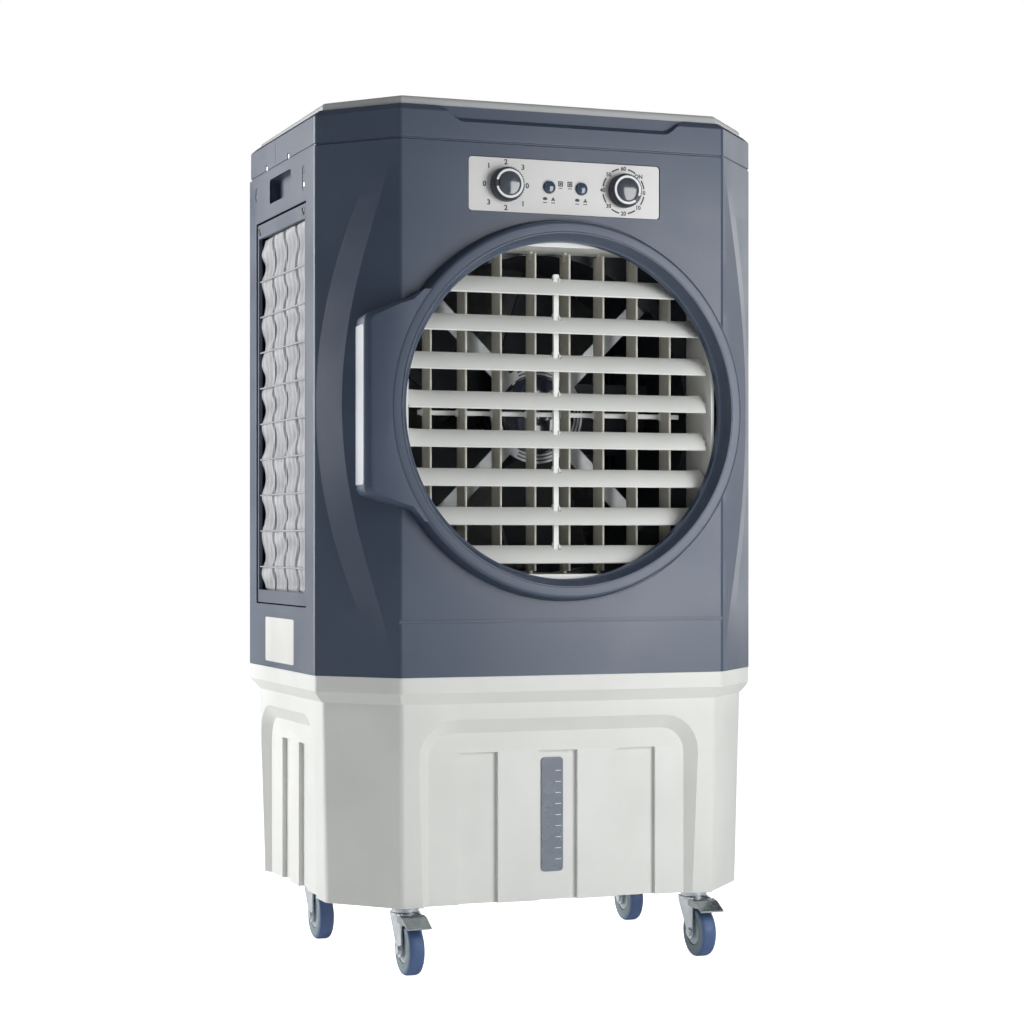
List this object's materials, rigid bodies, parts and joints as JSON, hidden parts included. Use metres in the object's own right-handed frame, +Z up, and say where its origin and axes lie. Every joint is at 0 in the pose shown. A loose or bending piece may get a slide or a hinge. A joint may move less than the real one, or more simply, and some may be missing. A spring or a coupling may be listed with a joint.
{
  "type": "evaporative air cooler",
  "caption": "Upright evaporative air cooler on castors: water tank, chamfered housing with a round louvred outlet, side pad doors, control plate and lid.",
  "frame": {"origin": "on the floor, at the centre of the machine's bounding box", "axes": "+Z up, front of the machine towards -Y, +X to the right seen from the front"},
  "size_m": [0.708, 0.541, 1.286],
  "materials": {
    "tank_grey": "satin",
    "level_glass": "satin",
    "dark_plastic": "satin",
    "brass": "satin",
    "zinc_steel": "satin",
    "slate_plastic": "satin",
    "light_plastic": "satin",
    "pale_plastic": "satin",
    "dark_metal": "gloss",
    "pale_metal": "satin",
    "pad_fibre": "matt",
    "tyre_blue": "satin",
    "pedal_steel": "satin"
  },
  "bodies": {
    "cabinet": {"tank": "tank_grey", "level_window": "level_glass", "drain_plug": "dark_plastic", "water_inlet": "brass", "castor_plates": "zinc_steel", "front_shell": "slate_plastic", "side_panels": "slate_plastic", "rear_panel": "slate_plastic", "top_cover": "slate_plastic", "top_plate": "light_plastic", "front_bezel": "slate_plastic", "control_fascia": "light_plastic", "control_box": "dark_plastic", "louvre_frame": "pale_plastic", "swing_motor": "dark_metal", "fan_shroud": "dark_plastic", "motor_bracket": "pale_metal", "fan_motor": "dark_metal", "cooling_pad_rear": "pad_fibre", "water_distributor": "pale_plastic", "water_pump": "dark_plastic", "screws": "zinc_steel", "mains_gland": "dark_plastic"},
    "blade_1_body": {"blade_1": "pale_plastic"},
    "vane_1_body": {"vane_1": "pale_plastic"},
    "blade_2_body": {"blade_2": "pale_plastic"},
    "vane_2_body": {"vane_2": "pale_plastic"},
    "blade_3_body": {"blade_3": "pale_plastic"},
    "vane_3_body": {"vane_3": "pale_plastic"},
    "blade_4_body": {"blade_4": "pale_plastic"},
    "vane_4_body": {"vane_4": "pale_plastic"},
    "blade_5_body": {"blade_5": "pale_plastic"},
    "vane_5_body": {"vane_5": "pale_plastic"},
    "blade_6_body": {"blade_6": "pale_plastic"},
    "vane_6_body": {"vane_6": "pale_plastic"},
    "blade_7_body": {"blade_7": "pale_plastic"},
    "vane_7_body": {"vane_7": "pale_plastic"},
    "blade_8_body": {"blade_8": "pale_plastic"},
    "vane_8_body": {"vane_8": "pale_plastic"},
    "blade_link_body": {"blade_link": "pale_plastic"},
    "vane_link_body": {"vane_link": "pale_plastic"},
    "fan_body": {"fan": "dark_plastic"},
    "speed_knob_body": {"speed_knob": "slate_plastic"},
    "timer_knob_body": {"timer_knob": "slate_plastic"},
    "pump_button_body": {"pump_button": "slate_plastic"},
    "swing_button_body": {"swing_button": "slate_plastic"},
    "pad_door_left": {"pad_frame_left": "slate_plastic", "cooling_pad_left": "pad_fibre"},
    "pad_door_right": {"pad_frame_right": "slate_plastic", "cooling_pad_right": "pad_fibre"},
    "castor_front_left": {"castor_fork_front_left": "zinc_steel"},
    "wheel_front_left": {"castor_wheel_front_left": "tyre_blue"},
    "castor_front_right": {"castor_fork_front_right": "zinc_steel"},
    "wheel_front_right": {"castor_wheel_front_right": "tyre_blue"},
    "castor_rear_left": {"castor_fork_rear_left": "zinc_steel"},
    "wheel_rear_left": {"castor_wheel_rear_left": "tyre_blue"},
    "castor_rear_right": {"castor_fork_rear_right": "zinc_steel"},
    "wheel_rear_right": {"castor_wheel_rear_right": "tyre_blue"},
    "pedal_front_left": {"brake_pedal_front_left": "pedal_steel"},
    "pedal_front_right": {"brake_pedal_front_right": "pedal_steel"}
  },
  "joints": [
    {"name": "blade_4_tilt", "type": "hinge", "parent": "cabinet", "child": "blade_4_body", "pos_m": [0, -0.2155, 0.7831], "axis": [1, 0, 0], "range_deg": [-30, 15]},
    {"name": "blade_1_tilt", "type": "hinge", "parent": "cabinet", "child": "blade_1_body", "pos_m": [0, -0.2155, 0.6124], "axis": [1, 0, 0], "range_deg": [-30, 15]},
    {"name": "blade_2_tilt", "type": "hinge", "parent": "cabinet", "child": "blade_2_body", "pos_m": [0, -0.2155, 0.6693], "axis": [1, 0, 0], "range_deg": [-30, 15]},
    {"name": "blade_3_tilt", "type": "hinge", "parent": "cabinet", "child": "blade_3_body", "pos_m": [0, -0.2155, 0.7262], "axis": [1, 0, 0], "range_deg": [-30, 15]},
    {"name": "blade_5_tilt", "type": "hinge", "parent": "cabinet", "child": "blade_5_body", "pos_m": [0, -0.2155, 0.84], "axis": [1, 0, 0], "range_deg": [-30, 15]},
    {"name": "blade_6_tilt", "type": "hinge", "parent": "cabinet", "child": "blade_6_body", "pos_m": [0, -0.2155, 0.8969], "axis": [1, 0, 0], "range_deg": [-30, 15]},
    {"name": "blade_7_tilt", "type": "hinge", "parent": "cabinet", "child": "blade_7_body", "pos_m": [0, -0.2155, 0.9538], "axis": [1, 0, 0], "range_deg": [-30, 15]},
    {"name": "blade_8_tilt", "type": "hinge", "parent": "cabinet", "child": "blade_8_body", "pos_m": [0, -0.2155, 1.0107], "axis": [1, 0, 0], "range_deg": [-30, 15]},
    {"name": "blade_link_swing", "type": "hinge", "parent": "blade_4_body", "child": "blade_link_body", "pos_m": [0, -0.20613, 0.79353], "axis": [1, 0, 0], "range_deg": [-15, 30]},
    {"name": "vane_4_swing", "type": "hinge", "parent": "cabinet", "child": "vane_4_body", "pos_m": [-0.0275, -0.1735, 0.829], "axis": [0, 0, 1], "range_deg": [-25, 25]},
    {"name": "vane_1_swing", "type": "hinge", "parent": "cabinet", "child": "vane_1_body", "pos_m": [-0.1925, -0.1735, 0.829], "axis": [0, 0, 1], "range_deg": [-25, 25]},
    {"name": "vane_2_swing", "type": "hinge", "parent": "cabinet", "child": "vane_2_body", "pos_m": [-0.1375, -0.1735, 0.829], "axis": [0, 0, 1], "range_deg": [-25, 25]},
    {"name": "vane_3_swing", "type": "hinge", "parent": "cabinet", "child": "vane_3_body", "pos_m": [-0.0825, -0.1735, 0.829], "axis": [0, 0, 1], "range_deg": [-25, 25]},
    {"name": "vane_5_swing", "type": "hinge", "parent": "cabinet", "child": "vane_5_body", "pos_m": [0.0275, -0.1735, 0.829], "axis": [0, 0, 1], "range_deg": [-25, 25]},
    {"name": "vane_6_swing", "type": "hinge", "parent": "cabinet", "child": "vane_6_body", "pos_m": [0.0825, -0.1735, 0.829], "axis": [0, 0, 1], "range_deg": [-25, 25]},
    {"name": "vane_7_swing", "type": "hinge", "parent": "cabinet", "child": "vane_7_body", "pos_m": [0.1375, -0.1735, 0.829], "axis": [0, 0, 1], "range_deg": [-25, 25]},
    {"name": "vane_8_swing", "type": "hinge", "parent": "cabinet", "child": "vane_8_body", "pos_m": [0.1925, -0.1735, 0.829], "axis": [0, 0, 1], "range_deg": [-25, 25]},
    {"name": "vane_link_swing", "type": "hinge", "parent": "vane_4_body", "child": "vane_link_body", "pos_m": [-0.0275, -0.1575, 0.829], "axis": [0, 0, 1], "range_deg": [-25, 25]},
    {"name": "fan_spin", "type": "hinge", "parent": "cabinet", "child": "fan_body", "pos_m": [0, -0.0075, 0.825], "axis": [0, 1, 0], "continuous": true},
    {"name": "speed_knob_turn", "type": "hinge", "parent": "cabinet", "child": "speed_knob_body", "pos_m": [-0.0935, -0.2555, 1.154], "axis": [0, 1, 0], "continuous": true},
    {"name": "timer_knob_turn", "type": "hinge", "parent": "cabinet", "child": "timer_knob_body", "pos_m": [0.0935, -0.2555, 1.154], "axis": [0, 1, 0], "range_deg": [0, 315]},
    {"name": "pump_button_push", "type": "slide", "parent": "cabinet", "child": "pump_button_body", "axis": [0, 1, 0], "range_m": [0, 0.003], "stiffness_N_per_m": 800, "springref_m": -0.001},
    {"name": "swing_button_push", "type": "slide", "parent": "cabinet", "child": "swing_button_body", "axis": [0, 1, 0], "range_m": [0, 0.003], "stiffness_N_per_m": 800, "springref_m": -0.001},
    {"name": "castor_front_left_swivel", "type": "hinge", "parent": "cabinet", "child": "castor_front_left", "pos_m": [-0.232, -0.1935, 0.09], "axis": [0, 0, 1], "continuous": true},
    {"name": "wheel_front_left_spin", "type": "hinge", "parent": "castor_front_left", "child": "wheel_front_left", "pos_m": [-0.232, -0.2155, 0.0375], "axis": [1, 0, 0], "continuous": true},
    {"name": "castor_front_right_swivel", "type": "hinge", "parent": "cabinet", "child": "castor_front_right", "pos_m": [0.232, -0.1935, 0.09], "axis": [0, 0, 1], "continuous": true},
    {"name": "wheel_front_right_spin", "type": "hinge", "parent": "castor_front_right", "child": "wheel_front_right", "pos_m": [0.232, -0.2155, 0.0375], "axis": [1, 0, 0], "continuous": true},
    {"name": "castor_rear_left_swivel", "type": "hinge", "parent": "cabinet", "child": "castor_rear_left", "pos_m": [-0.266, 0.1595, 0.09], "axis": [0, 0, 1], "continuous": true},
    {"name": "wheel_rear_left_spin", "type": "hinge", "parent": "castor_rear_left", "child": "wheel_rear_left", "pos_m": [-0.266, 0.1375, 0.0375], "axis": [1, 0, 0], "continuous": true},
    {"name": "castor_rear_right_swivel", "type": "hinge", "parent": "cabinet", "child": "castor_rear_right", "pos_m": [0.266, 0.1595, 0.09], "axis": [0, 0, 1], "continuous": true},
    {"name": "wheel_rear_right_spin", "type": "hinge", "parent": "castor_rear_right", "child": "wheel_rear_right", "pos_m": [0.266, 0.1375, 0.0375], "axis": [1, 0, 0], "continuous": true},
    {"name": "pedal_front_left_press", "type": "hinge", "parent": "castor_front_left", "child": "pedal_front_left", "pos_m": [-0.232, -0.2175, 0.083], "axis": [1, 0, 0], "range_deg": [0, 14]},
    {"name": "pedal_front_right_press", "type": "hinge", "parent": "castor_front_right", "child": "pedal_front_right", "pos_m": [0.232, -0.2175, 0.083], "axis": [1, 0, 0], "range_deg": [0, 14]},
    {"name": "pad_door_left_tilt", "type": "hinge", "parent": "cabinet", "child": "pad_door_left", "pos_m": [-0.354, 0.0602, 0.5344], "axis": [0, -1, 0], "range_deg": [0, 30]},
    {"name": "pad_door_right_tilt", "type": "hinge", "parent": "cabinet", "child": "pad_door_right", "pos_m": [0.354, 0.0602, 0.5344], "axis": [0, 1, 0], "range_deg": [0, 30]}
  ],
  "couplings": [
    {"joint": "blade_1_tilt", "follows": "blade_4_tilt", "ratio": 1},
    {"joint": "blade_2_tilt", "follows": "blade_4_tilt", "ratio": 1},
    {"joint": "blade_3_tilt", "follows": "blade_4_tilt", "ratio": 1},
    {"joint": "blade_5_tilt", "follows": "blade_4_tilt", "ratio": 1},
    {"joint": "blade_6_tilt", "follows": "blade_4_tilt", "ratio": 1},
    {"joint": "blade_7_tilt", "follows": "blade_4_tilt", "ratio": 1},
    {"joint": "blade_8_tilt", "follows": "blade_4_tilt", "ratio": 1},
    {"joint": "blade_link_swing", "follows": "blade_4_tilt", "ratio": -1},
    {"joint": "vane_1_swing", "follows": "vane_4_swing", "ratio": 1},
    {"joint": "vane_2_swing", "follows": "vane_4_swing", "ratio": 1},
    {"joint": "vane_3_swing", "follows": "vane_4_swing", "ratio": 1},
    {"joint": "vane_5_swing", "follows": "vane_4_swing", "ratio": 1},
    {"joint": "vane_6_swing", "follows": "vane_4_swing", "ratio": 1},
    {"joint": "vane_7_swing", "follows": "vane_4_swing", "ratio": 1},
    {"joint": "vane_8_swing", "follows": "vane_4_swing", "ratio": 1},
    {"joint": "vane_link_swing", "follows": "vane_4_swing", "ratio": -1}
  ]
}
